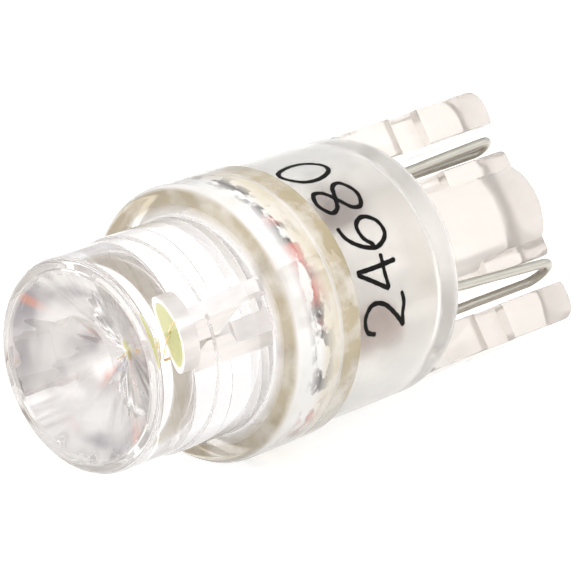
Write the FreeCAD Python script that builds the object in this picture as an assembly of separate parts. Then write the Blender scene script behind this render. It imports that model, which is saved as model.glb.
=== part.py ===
import FreeCAD, Part
import math
import os

# Wedge-base LED bulb, lying on its side as it comes to rest. Lengths in millimetres.
# Every piece is built in the bulb's own frame: x runs from the lens rim to the end of the blade,
# y across the blade's width and z through its thickness. lay_down() then turns it on its side.

# How the bulb lies
blade_roll = 57.2            # degrees that the blade is turned about the bulb's axis

# Clear lens, one epoxy moulding
lens_front_radius = 3.97
mould_step_x = 2.85          # where the two mould halves leave a small step
mould_step_length = 0.08
mould_step_height = 0.09
lip_width = 0.45             # the flat rim between the lens's side and its dented front
lip_rounding = 0.24
cone_depth = 2.5
cone_edge_rounding = 0.10
cone_tip_rounding = 0.14
ring_front_x = 5.8
ring_height = 1.14           # how far the ring stands out from the lens
ring_length = 2.22
ring_edge_rounding = 0.32
ring_root_rounding = 0.12
parting_groove_width = 0.14
parting_groove_depth = 0.09
flange_inset = 0.02          # how far the flange stays inside the ring
flange_length = 1.0
flange_edge_rounding = 0.10
spigot_length = 0.4

# Wedge base, one milky moulding: a cup that holds the lamp, and the blade
cup_inset = 0.21             # how far the cup stays inside the flange
cup_taper = 0.04             # loss of radius from the cup's front to its rear
cup_front_rounding = 0.10
cup_wall = 0.89
rear_wall = 0.8
shoulder_rounding = 0.9
spigot_clearance = 0.06
cavity_corner = 0.5
blade_length = 7.72
blade_width = 9.44
blade_thickness = 3.0
wing_width = 1.44
slot_width = 1.10
wing_corner = 0.70
tongue_corner = 0.28
slot_corner = 0.20           # the wings' inner free corners
finger_edge_rounding = 0.10
rib_inset = 0.08             # how far the rib stays inside the tongue's sides
notch_from_cup = 2.5
notch_length = 1.6
notch_depth = 0.42
notch_ramp = 0.35
blade_root_overlap = 0.5     # how far the blade runs on into the rear wall

# Lead frame inside the lens, stamped from one thickness of strip
frame_roll = 78              # degrees that the strip is turned about the axis, away from the blade
strip_thickness = 0.38
post_width = 0.46
post_pitch = 2.54
lamp_gap = 0.58              # from the dent's tip to the reflector cup's rim
cup_rim_radius = 0.79
cup_mouth_radius = 0.665
cup_floor_radius = 0.42
cup_floor_depth = 0.36
cup_block_length = 0.80
cathode_head_length = 2.32
cathode_head_high = 0.70
cathode_taper_length = 1.0
head_gap = 0.12              # between the two posts' heads
anode_head_setback = 1.27    # from the reflector cup's rim to the anode's head
anode_head_length = 1.65
anode_head_inner = -0.52

# Die, phosphor and bond wires
die_side = 0.30
die_thickness = 0.12
phosphor_crown = 0.05
bond_wire_radius = 0.022
bond_pad_offset = 0.09
bond_loop_height = 0.16
bond_loop_rounding = 0.12
anode_bond_inset = 0.12      # from the post's inner edge to where the wire lands

# Series resistor and blocking diode in the cup, one on each leg
resistor_length = 2.4
resistor_inset = 1.73        # from the cavity's wall to the resistor's middle, across the blade
resistor_z = 1.3
resistor_cap_radius = 0.80
resistor_waist_radius = 0.68
resistor_cap_length = 0.70
resistor_end_rounding = 0.3
diode_length = 1.8
diode_inset = 2.03           # from the cavity's wall to the diode's middle, across the blade
diode_z = 1.6
diode_radius = 0.76
diode_end_rounding = 0.35
diode_plug_radius = 0.48
diode_plug_length = 0.60
diode_chip_side = 0.5

# Leads, legs and solder
resistor_leg_length = 1.07   # from the lens's rear face to the middle of that leg's solder joint
leg_straight = 0.30
leg_bend_radius = 0.3
joint_gap = 0.42             # from the solder joint's middle to the component's end
joint_length = 0.80
joint_radius = 0.42
lead_radius = 0.2
lead_bend_radius = 0.3
lead_stub = 0.02             # straight stretch behind a component before its first bend
lead_slack = 0.04            # least straight stretch of the diode's lead between its bends
lead_room = 1.01             # from the resistor's rear end to the rear wall
lead_hole_clearance = 0.05

# The two contact wires that fold back over the blade. Offsets are from the middle of the slot,
# and count away from the bulb's axis.
resistor_wire_slot_offset = 0.12
resistor_wire_hook_offset = -0.23
resistor_wire_free_offset = -0.61
resistor_wire_lift = 0.24    # the free end's middle above the blade's face
resistor_wire_free_from_cup = 1.74
diode_wire_slot_offset = -0.23
diode_wire_hook_offset = 0.01
diode_wire_free_offset = -0.13
diode_wire_lift = -0.28
diode_wire_free_from_cup = 2.04
wire_slot_z = 0.45
hook_inset = 0.08            # how far the hooks stay inside the fingers' ends
hook_fullness = 0.96         # 1 would make each hook a full half round

# Radii and heights that follow from the sizes above
lens_rear_radius = lens_front_radius + mould_step_height
cone_mouth_radius = lens_front_radius - lip_width
ring_radius = lens_rear_radius + ring_height
flange_radius = ring_radius - flange_inset
cup_front_radius = flange_radius - cup_inset
cup_rear_radius = cup_front_radius - cup_taper
cavity_radius = cup_front_radius - cup_wall
spigot_radius = cavity_radius - spigot_clearance
tongue_half = blade_width / 2 - wing_width - slot_width
rib_radius = tongue_half - rib_inset
slot_middle = tongue_half + slot_width / 2
cathode_head_low = anode_head_inner + head_gap
anode_bond_y = -(post_pitch / 2 - post_width / 2 + anode_bond_inset)
axis_height = ring_radius

# Places along the axis that follow from the sizes above
groove_x = ring_front_x + ring_length
flange_x = groove_x + parting_groove_width
seat_x = flange_x + flange_length
spigot_end_x = seat_x + spigot_length
resistor_x = spigot_end_x + resistor_leg_length + joint_gap
cavity_end_x = resistor_x + resistor_length + lead_room
diode_room = 2 * lead_bend_radius + lead_stub + lead_slack
diode_x = cavity_end_x - diode_room - diode_length
cup_rear_x = cavity_end_x + rear_wall
blade_end_x = cup_rear_x + blade_length
cup_front_x = cone_depth + lamp_gap
cathode_neck_x = cup_front_x + cathode_head_length
cathode_shoulder_x = cathode_neck_x + cathode_taper_length
anode_head_x = cup_front_x + anode_head_setback
anode_head_step_x = anode_head_x + anode_head_length

vector = FreeCAD.Vector
x_axis = vector(1, 0, 0)
origin = vector(0, 0, 0)
full_turn = 360
tiny = 1e-6

# Middles of the front ends of the two components
resistor_place = vector(resistor_x, resistor_inset - cavity_radius, resistor_z)
diode_place = vector(diode_x, cavity_radius - diode_inset, diode_z)


def lay_down(shape):
    """Moves a shape from the bulb's own frame to where it lies on the surface."""
    placed = shape.copy()
    placed.translate(vector(-blade_end_x / 2, 0, 0))
    placed.rotate(origin, x_axis, blade_roll)
    placed.translate(vector(0, 0, axis_height))
    return placed


def rounded_path(points, radii):
    """A wire through the points, with a tangent arc of its own radius at each inner point."""
    edges = []
    start = points[0]
    for i in range(1, len(points) - 1):
        corner = points[i]
        back = (points[i - 1] - corner).normalize()
        ahead = (points[i + 1] - corner).normalize()
        half_angle = back.getAngle(ahead) / 2
        reach = radii[i - 1] / math.tan(half_angle)
        middle = (back + ahead).normalize()
        to_centre = radii[i - 1] / math.sin(half_angle)
        arc_start = corner + back * reach
        arc_end = corner + ahead * reach
        arc_middle = corner + middle * (to_centre - radii[i - 1])
        if (arc_start - start).Length > tiny:
            edges.append(Part.LineSegment(start, arc_start).toShape())
        edges.append(Part.Arc(arc_start, arc_middle, arc_end).toShape())
        start = arc_end
    edges.append(Part.LineSegment(start, points[-1]).toShape())
    return Part.Wire(edges)


def swept(path, section):
    return path.makePipeShell([section], True, False)


def round_wire(points, radii, radius):
    """A round wire along a rounded path."""
    direction = points[1] - points[0]
    section = Part.Wire([Part.Circle(points[0], direction, radius).toShape()])
    return swept(rounded_path(points, radii), section)


def outline(points):
    return Part.makePolygon([vector(*p) for p in points] + [vector(*points[0])])


def turned(corners, roundings):
    """A solid of revolution about the x axis from (x, radius) corners, with arcs at some of them."""
    points = [vector(x, radius, 0) for x, radius in corners]
    edges = []
    count = len(points)
    ends = []
    for i in range(count):
        corner = points[i]
        rounding = roundings.get(i, 0)
        if rounding == 0:
            ends.append((corner, None, corner))
            continue
        back = (points[i - 1] - corner).normalize()
        ahead = (points[(i + 1) % count] - corner).normalize()
        half_angle = back.getAngle(ahead) / 2
        reach = rounding / math.tan(half_angle)
        rise = rounding / math.sin(half_angle) - rounding
        middle = corner + (back + ahead).normalize() * rise
        ends.append((corner + back * reach, middle, corner + ahead * reach))
    for i in range(count):
        first, middle, last = ends[i]
        if middle is not None:
            edges.append(Part.Arc(first, middle, last).toShape())
        following = ends[(i + 1) % count][0]
        if (following - last).Length > tiny:
            edges.append(Part.LineSegment(last, following).toShape())
    face = Part.Face(Part.Wire(edges))
    return face.revolve(origin, x_axis, full_turn)


def lens_blank():
    """The lens before its inner pieces are taken out: a dented front, a ring, a flange and a spigot."""
    half_cone = math.atan2(cone_mouth_radius, cone_depth)
    tip_centre_x = cone_depth - cone_tip_rounding / math.sin(half_cone)
    touch_x = tip_centre_x + cone_tip_rounding * math.sin(half_cone)
    touch_radius = cone_tip_rounding * math.cos(half_cone)
    blank = turned(
        [
            (touch_x, 0),
            (touch_x, touch_radius),
            (0, cone_mouth_radius),
            (0, lens_front_radius),
            (mould_step_x, lens_front_radius),
            (mould_step_x + mould_step_length, lens_rear_radius),
            (ring_front_x, lens_rear_radius),
            (ring_front_x, ring_radius),
            (groove_x, ring_radius),
            (groove_x + parting_groove_width / 2, ring_radius - parting_groove_depth),
            (flange_x, flange_radius),
            (seat_x, flange_radius),
            (seat_x, spigot_radius),
            (spigot_end_x, spigot_radius),
            (spigot_end_x, 0),
        ],
        {
            2: cone_edge_rounding,
            3: lip_rounding,
            6: ring_root_rounding,
            7: ring_edge_rounding,
            11: flange_edge_rounding,
        },
    )
    return blank.cut(Part.makeSphere(cone_tip_rounding, vector(tip_centre_x, 0, 0)))


def wedge_base():
    """The cup with its cavity, and the slotted blade with its rib, notches and lead holes."""
    cup = turned(
        [
            (seat_x, 0),
            (seat_x, cup_front_radius),
            (cup_rear_x, cup_rear_radius),
            (cup_rear_x, 0),
        ],
        {1: cup_front_rounding, 2: shoulder_rounding},
    )
    base = cup.fuse(blade())
    cavity = turned(
        [
            (seat_x, 0),
            (seat_x, cavity_radius),
            (cavity_end_x, cavity_radius),
            (cavity_end_x, 0),
        ],
        {2: cavity_corner},
    )
    base = base.cut(cavity)
    for side, offset in ((-1, resistor_wire_slot_offset), (1, diode_wire_slot_offset)):
        hole = Part.makeCylinder(
            lead_radius + lead_hole_clearance,
            rear_wall + blade_length,
            vector(cavity_end_x, side * (slot_middle + offset), wire_slot_z),
            x_axis,
        )
        base = base.cut(hole)
    return base.removeSplitter()


def finger(low, high, low_corner, high_corner):
    """One finger of the blade between two heights across its width, rounded at its free corners."""
    start = cup_rear_x - blade_root_overlap
    half = blade_thickness / 2
    body = Part.makeBox(blade_end_x - start, high - low, blade_thickness, vector(start, low, -half))
    for y, corner in ((low, low_corner), (high, high_corner)):
        edges = [
            e for e in body.Edges
            if abs(e.CenterOfMass.x - blade_end_x) < tiny
            and abs(e.CenterOfMass.y - y) < tiny
            and abs(e.CenterOfMass.z) < tiny
        ]
        body = body.makeFillet(corner, edges)
    end_edges = [
        e for e in body.Edges
        if e.BoundBox.XMax > blade_end_x - tiny
        and abs(abs(e.CenterOfMass.z) - half) < tiny
        and e.BoundBox.XMin > start + tiny
    ]
    return body.makeFillet(finger_edge_rounding, end_edges)


def blade():
    """Two wings and a tongue, notched across both faces, with a round rib along the tongue."""
    half = blade_width / 2
    fingers = [
        finger(-half, -half + wing_width, wing_corner, slot_corner),
        finger(-tongue_half, tongue_half, tongue_corner, tongue_corner),
        finger(half - wing_width, half, slot_corner, wing_corner),
    ]
    start = cup_rear_x + notch_from_cup
    floor = blade_thickness / 2 - notch_depth
    above = blade_thickness
    notch_outline = outline([
        (start, -half, blade_thickness / 2),
        (start + notch_ramp, -half, floor),
        (start + notch_length, -half, floor),
        (start + notch_length, -half, above),
        (start, -half, above),
    ])
    notch = Part.Face(notch_outline).extrude(vector(0, blade_width, 0))
    opposite = notch.copy()
    opposite.rotate(origin, x_axis, full_turn / 2)
    notched = [f.cut(notch).cut(opposite) for f in fingers]
    rib_start = cup_rear_x - blade_root_overlap
    rib = turned(
        [
            (rib_start, 0),
            (rib_start, rib_radius),
            (blade_end_x, rib_radius),
            (blade_end_x, 0),
        ],
        {2: finger_edge_rounding},
    )
    return notched[0].fuse(notched[1].fuse(rib)).fuse(notched[2])


def strip(points):
    """A flat piece of the lead frame, cut to an outline in the x and y plane."""
    half = strip_thickness / 2
    return Part.Face(outline([(x, y, -half) for x, y in points])).extrude(vector(0, 0, strip_thickness))


def rolled(shape):
    """Turns a shape of the lead frame about the axis to the angle at which the lamp was fitted."""
    turned_shape = shape.copy()
    turned_shape.rotate(origin, x_axis, frame_roll)
    return turned_shape


def joint_middle(component_place):
    return component_place - x_axis * joint_gap


def leg(side, component_place):
    """The part of a post behind the lens, bent out to the middle of its solder joint."""
    post_y = side * post_pitch / 2
    half_width = post_width / 2
    half_thickness = strip_thickness / 2
    start = FreeCAD.Rotation(x_axis, frame_roll).multVec(vector(spigot_end_x, post_y, 0))
    end = joint_middle(component_place)
    straight = x_axis * leg_straight
    section = rolled(outline([
        (spigot_end_x, post_y - half_width, -half_thickness),
        (spigot_end_x, post_y + half_width, -half_thickness),
        (spigot_end_x, post_y + half_width, half_thickness),
        (spigot_end_x, post_y - half_width, half_thickness),
    ]))
    path = rounded_path([start, start + straight, end - straight, end], [leg_bend_radius, leg_bend_radius])
    return swept(path, section)


def cathode_post():
    """The larger half of the lead frame, with the reflector cup at its head."""
    block = turned(
        [
            (cup_front_x, 0),
            (cup_front_x, cup_rim_radius),
            (cup_front_x + cup_block_length, cup_rim_radius),
            (cup_front_x + cup_block_length, 0),
        ],
        {},
    )
    outer = post_pitch / 2 + post_width / 2
    inner = post_pitch / 2 - post_width / 2
    head_x = cup_front_x + cup_floor_depth + die_thickness
    plate = strip([
        (head_x, cathode_head_low),
        (cathode_neck_x, cathode_head_low),
        (cathode_shoulder_x, inner),
        (spigot_end_x, inner),
        (spigot_end_x, outer),
        (cathode_shoulder_x, outer),
        (head_x, cathode_head_high),
    ])
    post = block.fuse(rolled(plate)).fuse(leg(1, diode_place))
    return post.cut(cup_space()).removeSplitter()


def cup_space():
    """The hollow of the reflector cup."""
    return turned(
        [
            (cup_front_x, 0),
            (cup_front_x, cup_mouth_radius),
            (cup_front_x + cup_floor_depth, cup_floor_radius),
            (cup_front_x + cup_floor_depth, 0),
        ],
        {},
    )


def anode_post():
    """The smaller half of the lead frame, which takes the bond wire."""
    outer = -post_pitch / 2 - post_width / 2
    inner = -post_pitch / 2 + post_width / 2
    plate = strip([
        (anode_head_x, outer),
        (anode_head_x, inner),
        (anode_head_x + post_width, anode_head_inner),
        (anode_head_step_x, anode_head_inner),
        (anode_head_step_x + post_width, inner),
        (spigot_end_x, inner),
        (spigot_end_x, outer),
    ])
    return rolled(plate).fuse(leg(-1, resistor_place)).removeSplitter()


def led_die():
    floor_x = cup_front_x + cup_floor_depth
    half = die_side / 2
    die = Part.makeBox(die_thickness, die_side, die_side, vector(floor_x - die_thickness, -half, -half))
    return rolled(die)


def bond_wire_anode():
    """From the die over the cup's rim to the head of the anode post."""
    die_front = cup_front_x + cup_floor_depth - die_thickness
    crest = cup_front_x - bond_loop_height
    points = [
        vector(die_front, -bond_pad_offset, 0),
        vector(crest, -bond_pad_offset, 0),
        vector(crest, anode_bond_y, 0),
        vector(anode_head_x, anode_bond_y, 0),
    ]
    return rolled(round_wire(points, [bond_loop_rounding, bond_loop_rounding], bond_wire_radius))


def bond_wire_cathode():
    """From the die to the rim of the reflector cup."""
    die_front = cup_front_x + cup_floor_depth - die_thickness
    crest = cup_front_x - bond_loop_height
    rim_middle = (cup_rim_radius + cup_mouth_radius) / 2
    points = [
        vector(die_front, bond_pad_offset, 0),
        vector(crest, bond_pad_offset, 0),
        vector(crest, rim_middle, 0),
        vector(cup_front_x, rim_middle, 0),
    ]
    return rolled(round_wire(points, [bond_loop_rounding, bond_loop_rounding], bond_wire_radius))


def phosphor_fill():
    """The yellow resin that fills the reflector cup, a little crowned."""
    crown = turned(
        [
            (cup_front_x - phosphor_crown, 0),
            (cup_front_x - phosphor_crown, cup_floor_radius),
            (cup_front_x, cup_mouth_radius),
            (cup_front_x, 0),
        ],
        {},
    )
    fill = cup_space().fuse(crown).removeSplitter()
    return fill.cut(led_die()).cut(bond_wire_anode()).cut(bond_wire_cathode())


def lamp_lens():
    lens = lens_blank()
    for piece in (cathode_post(), anode_post(), phosphor_fill(), bond_wire_anode(), bond_wire_cathode()):
        lens = lens.cut(piece)
    whole = max(lens.Solids, key=lambda s: s.Volume)
    return whole


def resistor_body():
    """A lacquered rod with fatter ends, where the end caps are."""
    waist_from = resistor_cap_length
    waist_to = resistor_length - resistor_cap_length
    slope = resistor_cap_radius - resistor_waist_radius
    body = turned(
        [
            (0, 0),
            (0, resistor_cap_radius),
            (waist_from, resistor_cap_radius),
            (waist_from + slope, resistor_waist_radius),
            (waist_to - slope, resistor_waist_radius),
            (waist_to, resistor_cap_radius),
            (resistor_length, resistor_cap_radius),
            (resistor_length, 0),
        ],
        {1: resistor_end_rounding, 6: resistor_end_rounding},
    )
    body.translate(resistor_place)
    return body


def diode_plug(at):
    return Part.makeCylinder(diode_plug_radius, diode_plug_length, vector(at, 0, 0), x_axis)


def diode_pieces():
    """The glass sleeve, its two plugs and the chip between them."""
    first = diode_plug(0)
    second = diode_plug(diode_length - diode_plug_length)
    gap = diode_length - 2 * diode_plug_length
    half = diode_chip_side / 2
    chip = Part.makeBox(gap, diode_chip_side, diode_chip_side, vector(diode_plug_length, -half, -half))
    glass = turned(
        [(0, 0), (0, diode_radius), (diode_length, diode_radius), (diode_length, 0)],
        {1: diode_end_rounding, 2: diode_end_rounding},
    )
    glass = glass.cut(first).cut(second).cut(chip)
    pieces = [glass, first, second, chip]
    for piece in pieces:
        piece.translate(diode_place)
    return pieces


def front_lead(component_place):
    """The short lead between a component and its solder joint."""
    return Part.makeCylinder(lead_radius, joint_gap, joint_middle(component_place), x_axis)


def solder_joint(side, component_place):
    """A bead of solder round the end of a leg and of the component's lead."""
    bead = Part.makeSphere(joint_radius)
    stretch = FreeCAD.Matrix()
    stretch.scale(joint_length / 2 / joint_radius, 1, 1)
    bead = bead.transformGeometry(stretch)
    bead.translate(joint_middle(component_place))
    return bead.cut(leg(side, component_place)).cut(front_lead(component_place))


def contact_wire(side, rear_end, slot_offset, hook_offset, free_offset, lift, free_from_cup):
    """A component's rear lead: out through the rear wall, along its slot, and folded back."""
    hook_x = blade_end_x - hook_inset - lead_radius
    slot_y = side * (slot_middle + slot_offset)
    hook_y = side * (slot_middle + hook_offset)
    free_y = side * (slot_middle + free_offset)
    free_z = blade_thickness / 2 + lift
    free_x = cup_rear_x + free_from_cup
    hook_radius = (vector(0, slot_y, wire_slot_z) - vector(0, hook_y, free_z)).Length / 2
    points = [
        rear_end,
        rear_end + x_axis * (lead_bend_radius + lead_stub),
        vector(cavity_end_x - lead_bend_radius, slot_y, wire_slot_z),
        vector(hook_x, slot_y, wire_slot_z),
        vector(hook_x, hook_y, free_z),
        vector(free_x, free_y, free_z),
    ]
    bend = lead_bend_radius
    turn = hook_radius * hook_fullness
    return round_wire(points, [bend, bend, turn, turn], lead_radius)


def all_pieces():
    glass, front_plug, rear_plug, chip = diode_pieces()
    return {
        "wedge_base": wedge_base(),
        "lamp_lens": lamp_lens(),
        "cathode_post": cathode_post(),
        "anode_post": anode_post(),
        "led_die": led_die(),
        "phosphor_fill": phosphor_fill(),
        "bond_wire_anode": bond_wire_anode(),
        "bond_wire_cathode": bond_wire_cathode(),
        "resistor_body": resistor_body(),
        "resistor_front_lead": front_lead(resistor_place),
        "resistor_contact_wire": contact_wire(
            -1,
            resistor_place + x_axis * resistor_length,
            resistor_wire_slot_offset,
            resistor_wire_hook_offset,
            resistor_wire_free_offset,
            resistor_wire_lift,
            resistor_wire_free_from_cup,
        ),
        "diode_glass": glass,
        "diode_front_plug": front_plug,
        "diode_rear_plug": rear_plug,
        "diode_chip": chip,
        "diode_front_lead": front_lead(diode_place),
        "diode_contact_wire": contact_wire(
            1,
            diode_place + x_axis * diode_length,
            diode_wire_slot_offset,
            diode_wire_hook_offset,
            diode_wire_free_offset,
            diode_wire_lift,
            diode_wire_free_from_cup,
        ),
        "solder_joint_resistor": solder_joint(-1, resistor_place),
        "solder_joint_diode": solder_joint(1, diode_place),
    }


os.makedirs("parts", exist_ok=True)
for name, shape in all_pieces().items():
    piece = lay_down(shape)
    piece.exportStep("parts/" + name + ".step")
    print(name, "solids", len(piece.Solids), "valid", piece.isValid(), "volume", round(piece.Volume, 4))
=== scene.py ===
import bmesh
import bpy
import math
from mathutils import Matrix, Vector


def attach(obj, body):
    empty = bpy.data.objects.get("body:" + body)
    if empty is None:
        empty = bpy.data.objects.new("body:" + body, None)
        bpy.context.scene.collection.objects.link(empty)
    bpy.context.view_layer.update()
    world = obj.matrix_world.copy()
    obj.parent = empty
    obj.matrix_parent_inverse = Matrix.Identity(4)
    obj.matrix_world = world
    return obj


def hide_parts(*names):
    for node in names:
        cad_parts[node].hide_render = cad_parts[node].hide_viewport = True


# Wedge bulb with a round lamp, lying on a pale table. Sizes in the dictionaries are millimetres
# in the bulb's own frame: x from the lens rim to the blade's end, y across the blade, z through it.

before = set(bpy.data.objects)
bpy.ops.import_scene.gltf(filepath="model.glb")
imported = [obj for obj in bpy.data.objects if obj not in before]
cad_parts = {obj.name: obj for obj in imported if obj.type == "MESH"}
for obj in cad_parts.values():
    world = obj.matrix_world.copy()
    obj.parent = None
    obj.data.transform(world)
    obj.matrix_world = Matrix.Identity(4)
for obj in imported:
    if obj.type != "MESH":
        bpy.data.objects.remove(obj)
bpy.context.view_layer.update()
mm = 0.001

bulbLying = {
    "bladeRoll": 57.2,      # degrees that the blade is turned about the bulb's axis
    "halfLength": 11.49,
    "axisHeight": 5.2,
}
layDown = (
    Matrix.Diagonal((mm, mm, mm, 1))
    @ Matrix.Translation((0, 0, bulbLying["axisHeight"]))
    @ Matrix.Rotation(math.radians(bulbLying["bladeRoll"]), 4, "X")
    @ Matrix.Translation((-bulbLying["halfLength"], 0, 0))
)


def alongBulb(placeMm):
    # a place in mm from the lens rim, as the X of the object coordinates
    return (placeMm - bulbLying["halfLength"]) * mm


def between(span):
    # what a map range is given to grow over a span
    low, high = span
    return {"From Min": low, "From Max": high}


def tint(hexCode):
    # sRGB hex to the linear colour that the shader takes
    values = [int(hexCode[i:i + 2], 16) / 255 for i in (1, 3, 5)]
    return tuple(v / 12.92 if v <= 0.04045 else ((v + 0.055) / 1.055) ** 2.4 for v in values) + (1,)


def addNode(tree, kind, inputs=None, **settings):
    # one node, of the shader kinds unless its kind says more; an input given a socket is linked to
    # it, one given a node is linked to that node's first live output, and any other is set
    node = tree.nodes.new(kind if "Node" in kind else "ShaderNode" + kind)
    for key, value in settings.items():
        setattr(node, key, value)
    for key, value in (inputs or {}).items():
        if isinstance(value, bpy.types.Node):
            value = next(socket for socket in value.outputs if socket.enabled)
        if isinstance(value, bpy.types.NodeSocket):
            tree.links.new(value, node.inputs[key])
        else:
            node.inputs[key].default_value = value
    return node


def newMaterial(name):
    material = bpy.data.materials.new(name)
    material.use_nodes = True
    material.node_tree.nodes.clear()
    return material, material.node_tree


# Cast epoxy resin of a round lamp, from a mould that isn't quite polished: clear, with slow ripples
# on its side and radial streaks in the dent. The thick rim is cloudier, in bands that run round it:
# straw-coloured on its front face and on the flange, and milky white between. The white band is milky
# resin and partly painted highlight, for the bright view through the rim; so is a white line at the
# groove. Grey and salmon lines round the ring and smears in the dent are painted reflections, and the
# edges seen edge-on get a painted dark outline.
# Its rear was the open side of the mould, so it set dull. A span holds the values of a noise, or
# the places, between which a pattern grows from nothing to full.
epoxy = {
    "ior": 1.54,
    "body": "#FEFCFC",
    "outline": "#7C746E",           # painted shade: the dark edge that the resin is given where it is seen edge-on
    "edgeShadeSpan": (0.62, 0.97),    # 0 is seen square-on and 1 edge-on
    "edgeShadeTransmission": 0.45,
    "rimSpanMm": (4.12, 4.55),      # distance from the axis where the cloudier rim starts
    "rimTransmission": 0.60,
    "rearSpanMm": (9.09, 9.16),     # from the lens rim, as the places of the bands are
    "rearRoughness": 0.45,
    # straw bands are the resin's tint; the white from 5.92 to 6.95 mm and at 8.09 mm is partly painted
    # highlight
    "bands": (
        (5.72, "#B5A584"),
        (5.82, "#BCAC8B"),
        (5.92, "#FDFCFA"),
        (6.95, "#FDFCFA"),
        (7.30, "#EDE4CF"),
        (7.95, "#D6C8A6"),
        (8.09, "#FDFBF7"),
        (8.22, "#AD9C74"),
        (9.16, "#A18E62"),
    ),
    "pale": "#F5F0E6",              # the clouds that lighten the bands
    "cloudMm": 1.3,
    "cloudSpan": (0.46, 0.66),
    "cloudShare": 0.6,
    "glintBandAtMm": 7.05,               # where the band of painted reflections runs: grey and salmon glint lines round the ring
    "glintBandHalfWidth": 0.72,
    # grey and salmon of the painted reflections on the ring
    "rimGlintColours": ("#37322F", "#C4695A"),
    "rimGlintMm": 0.5,
    "rimGlintSpan": (0.46, 0.54),
    "rimGlintTurn": 2.2,                # how much the painted glint lines wander on their way round
    "hueChanges": 2.6,              # how often grey and salmon change round the axis
    "salmonSpan": (0.55, 0.62),
    "ringsMm": 0.55,                # spacing of the fine rings on the rim
    "ringsHeight": 0.018,
    "ringsTurn": 0.9,               # how much the rings and the painted reflections in the dent wander on their way round
    "rippleMm": 2.4,
    "rippleHeight": 0.007,
    "dentSpanMm": (2.79, 2.59),     # the dent's marks lie in front of this, from the lens rim
    "mouthSpanMm": (3.6, 3.4),      # and inside this distance from the axis
    "dentStreaks": 3.2,             # how often the streaks in the dent change round the axis
    "dentSlope": 0.06,              # their height as a share of the distance from the axis
    "dentRoughness": 0.03,
    "dentGlintMm": 1.1,                 # spacing of the painted reflections that run round the dent
    "dentGlintSpan": (0.48, 0.66),
    "dentGlintSeed": 1.7,
    # grey and salmon of the painted reflections in the dent
    "dentGlintColours": ("#8A848E", "#DB7F6A"),
}


def addEpoxyPlaces(tree):
    # what the patterns of the resin are laid out by, each under its name
    here = addNode(tree, "TexCoord").outputs["Object"]
    axisPlace = (0, 0, bulbLying["axisHeight"] * mm)
    centred = addNode(tree, "VectorMath", {0: here, 1: axisPlace}, operation="SUBTRACT")
    across = addNode(tree, "VectorMath", {0: centred, 1: (0, 1, 1)}, operation="MULTIPLY")
    along = addNode(tree, "SeparateXYZ", {"Vector": here}).outputs["X"]
    away = addNode(tree, "VectorMath", {0: across}, operation="LENGTH")
    spoke = addNode(tree, "VectorMath", {0: across}, operation="NORMALIZE")
    # places that hardly change round the axis, for rings and for the painted reflections on the ring and in
    # the dent
    slowly = addNode(tree, "VectorMath", {0: spoke, "Scale": epoxy["ringsTurn"] * mm}, operation="SCALE")
    turned = addNode(tree, "SeparateXYZ", {"Vector": slowly}).outputs
    outwards = addNode(tree, "Math", {0: along, 1: away}, operation="ADD")
    ringPlace = addNode(tree, "CombineXYZ", {"X": outwards, "Y": turned["Y"], "Z": turned["Z"]})
    dentGlintPlace = addNode(tree, "CombineXYZ", {"X": away, "Y": turned["Y"], "Z": turned["Z"]})
    # the tints lie in the outer skin, so light that comes from within meets clear resin
    fromWithin = addNode(tree, "NewGeometry").outputs["Backfacing"]
    skin = addNode(tree, "Math", {0: 1.0, 1: fromWithin}, operation="SUBTRACT")
    # where the rim is: 0 on the lens's side, 1 on the ring and the flange
    offAxis = addNode(tree, "MapRange", {"Value": away, **between(v * mm for v in epoxy["rimSpanMm"])})
    rim = addNode(tree, "Math", {0: offAxis, 1: skin}, operation="MULTIPLY")
    # where the dent is: in front, within the mouth
    inFront = addNode(tree, "MapRange", {"Value": along, **between(map(alongBulb, epoxy["dentSpanMm"]))})
    within = addNode(tree, "MapRange", {"Value": away, **between(v * mm for v in epoxy["mouthSpanMm"])})
    dent = addNode(tree, "Math", {0: inFront, 1: within}, operation="MULTIPLY")
    return {
        "here": here, "along": along, "away": away, "spoke": spoke, "ringPlace": ringPlace,
        "dentGlintPlace": dentGlintPlace, "skin": skin, "rim": rim, "dent": dent,
    }


def addSalmonShare(tree, at):
    # the slow turn from grey to salmon that the painted reflections on the ring and in the dent share
    hue = addNode(tree, "TexNoise", {"Vector": at["spoke"], "Scale": epoxy["hueChanges"], "Detail": 1.0})
    return addNode(tree, "MapRange", {"Value": hue, **between(epoxy["salmonSpan"])})


def addBands(tree, at):
    # bands of colour along the axis, lightened by clouds; the straw bands are the resin's tint, and the white
    # band and the white line at the groove are milky resin and partly painted highlight
    bands = epoxy["bands"]
    first = bands[0][0]
    last = bands[-1][0]
    alongRim = addNode(
        tree, "MapRange", {"Value": at["along"], **between((alongBulb(first), alongBulb(last)))}
    )
    ramp = addNode(tree, "ValToRGB", {"Fac": alongRim})
    shares = [(placeMm - first) / (last - first) for placeMm, colour in bands]
    stops = ramp.color_ramp.elements
    for share in shares[1:-1]:
        stops.new(share)
    for stop, share, (placeMm, colour) in zip(stops, shares, bands):
        stop.position = share
        stop.color = tint(colour)
    clouds = addNode(
        tree, "TexNoise", {"Vector": at["here"], "Scale": 1 / (epoxy["cloudMm"] * mm), "Detail": 4.0}
    )
    cloudy = addNode(
        tree, "MapRange", {"Value": clouds, **between(epoxy["cloudSpan"]), "To Max": epoxy["cloudShare"]}
    )
    return addNode(tree, "Mix", {0: cloudy, 6: ramp, 7: tint(epoxy["pale"])}, data_type="RGBA")


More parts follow.
